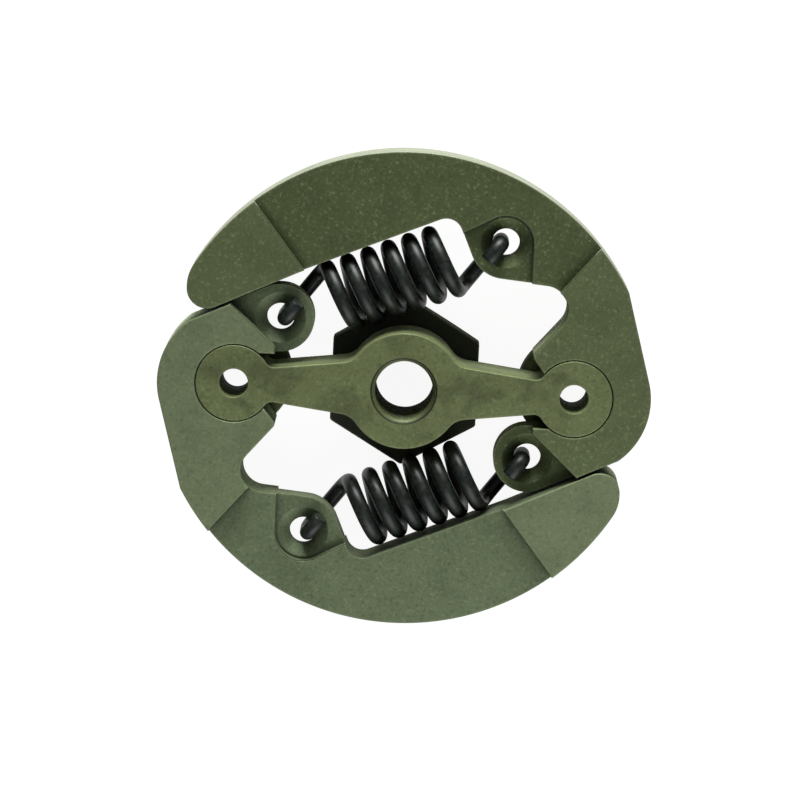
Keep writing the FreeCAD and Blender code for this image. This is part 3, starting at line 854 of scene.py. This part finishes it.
def buildStudio(s, hub):
    material, tree = newMaterial("paleFloor")
    path = addNode(tree, "ShaderNodeLightPath")
    tone = addNode(tree, "ShaderNodeTexNoise", {"Scale": 9.0})
    grey = addNode(tree, "ShaderNodeValToRGB", None, {"Fac": (tone, "Fac")})
    setRamp(grey, [(0.0, linear("#F4F4F2")), (1.0, linear("#F8F8F7"))])
    diffuse = addNode(tree, "ShaderNodeBsdfDiffuse", None, {"Color": (grey, "Color")})
    glow = addNode(tree, "ShaderNodeEmission", {"Color": (1, 1, 1, 1), "Strength": s["floorStrength"]})
    seen = addNode(tree, "ShaderNodeMath", {"operation": "MAXIMUM"},
                   {0: (path, "Is Camera Ray"), 1: (path, "Is Glossy Ray")})
    share = addNode(tree, "ShaderNodeMath", {"operation": "MULTIPLY", 1: s["floorGlow"]},
                    {0: (seen, "Value")})
    mix = addNode(tree, "ShaderNodeMixShader", None,
                  {0: (share, "Value"), 1: (diffuse, "BSDF"), 2: (glow, "Emission")})
    addNode(tree, "ShaderNodeOutputMaterial", None, {"Surface": (mix, "Shader")})
    bm = bmesh.new()
    half = s["floorHalf"]
    bm.faces.new([bm.verts.new((x * half, y * half, 0)) for x, y in ((-1, -1), (1, -1), (1, 1), (-1, 1))])
    floor = newObject("floor", bm)
    floor.data.materials.append(material)

    world = bpy.data.worlds.new("paleStudio")
    bpy.context.scene.world = world
    world.use_nodes = True
    tree = world.node_tree
    tree.nodes.clear()
    path = addNode(tree, "ShaderNodeLightPath")
    soft = addNode(tree, "ShaderNodeBackground", {"Color": (1, 1, 1, 1), "Strength": s["skyStrength"]})
    white = addNode(tree, "ShaderNodeBackground", {"Color": (1, 1, 1, 1), "Strength": 1.0})
    seen = addNode(tree, "ShaderNodeMath", {"operation": "MAXIMUM"},
                   {0: (path, "Is Camera Ray"), 1: (path, "Is Transmission Ray")})
    mix = addNode(tree, "ShaderNodeMixShader", None,
                  {0: (seen, "Value"), 1: (soft, "Background"), 2: (white, "Background")})
    addNode(tree, "ShaderNodeOutputWorld", None, {"Surface": (mix, "Shader")})

    # the strong lamp stands low at the far side, which is the top of the picture, and a weak one in front
    lamps = (("topLamp", (0.0, 0.44, 0.11), 0.3, 4.2), ("frontLamp", (0.06, -0.22, 0.18), 0.26, 0.56))
    for name, place, width, power in lamps:
        light = bpy.data.lights.new(name, "AREA")
        light.size = width
        light.energy = power
        lamp = bpy.data.objects.new(name, light)
        lamp.location = place
        lamp.rotation_euler = (Vector(s["lampAim"]) - Vector(place)).to_track_quat("-Z", "Y").to_euler()
        bpy.context.scene.collection.objects.link(lamp)

    # the camera looks almost straight down at the front face, from a little above the picture's top
    pixel = s["focal"] / s["sensor"] * s["frame"]
    lens = bpy.data.cameras.new("camera")
    lens.lens = s["focal"]
    lens.sensor_width = s["sensor"]
    lens.clip_start = 0.01
    camera = bpy.data.objects.new("camera", lens)
    bpy.context.scene.collection.objects.link(camera)
    facing = (Matrix.Rotation(math.radians(-s["tilt"]), 3, "X")
              @ Matrix.Rotation(math.radians(s["side"]), 3, "Y")
              @ Matrix.Rotation(math.radians(s["turn"]), 3, "Z"))
    half = s["frame"] / 2
    offset = Vector(((s["aim"][0] - half) / pixel, (half - s["aim"][1]) / pixel, -1)) * s["distance"]
    place = Vector((0, 0, hub["length"] * millimetre)) - facing @ offset
    camera.matrix_world = Matrix.Translation(place) @ facing.to_4x4()
    bpy.context.scene.camera = camera
    bpy.context.scene.view_settings.view_transform = "Standard"


# the hub is yellower, with painted shade and oil at the back, and the left-hand shoe is painted paler for the
# whiter light it reflects, as the photo shows
hubMetal = sinteredSteel("steamTreatedSinterHub", {
    **sinterLook, "skin": "#656F45", "skinDark": "#454C2C", "stainShare": 0.3,
    "bounceLightShare": 0.3, "bounceLightFrom": 11.0, "shadeAndOilBelow": 3.6})
# the left-hand shoe's copy is painted paler, standing in for the whiter reflection it catches
leftMetalPaintedLit = sinteredSteel("steamTreatedSinterLeftPaintedLit", {
    **sinterLook, "skin": "#657255", "skinDark": "#5C694C", "raisedShare": 0.2})
rightMetal = sinteredSteel("steamTreatedSinterRight", sinterLook)
springMetal = blackedWire("oilBlackedWire", wireLook)
cutMetal = blackedWire("croppedWireEnd", {**wireLook, "black": wireLook["worn"], "worn": wireLook["cut"]})
print("materials made")
buildHub(hubSizes, hubMetal)
print("hub built")
buildShoe("clutchShoeRight", "shoe_b", "right_shoe", shoeSizes, rightMetal, False)
buildShoe("clutchShoeLeft", "shoe_a", "left_shoe", shoeSizes, leftMetalPaintedLit, True)
print("shoes built")
buildSpring("spring_upper", springSizes, shoeSizes, springMetal, cutMetal, False)
buildSpring("spring_lower", springSizes, shoeSizes, springMetal, cutMetal, True)
print("springs built")
buildStudio(studio, hubSizes)
print("studio set")
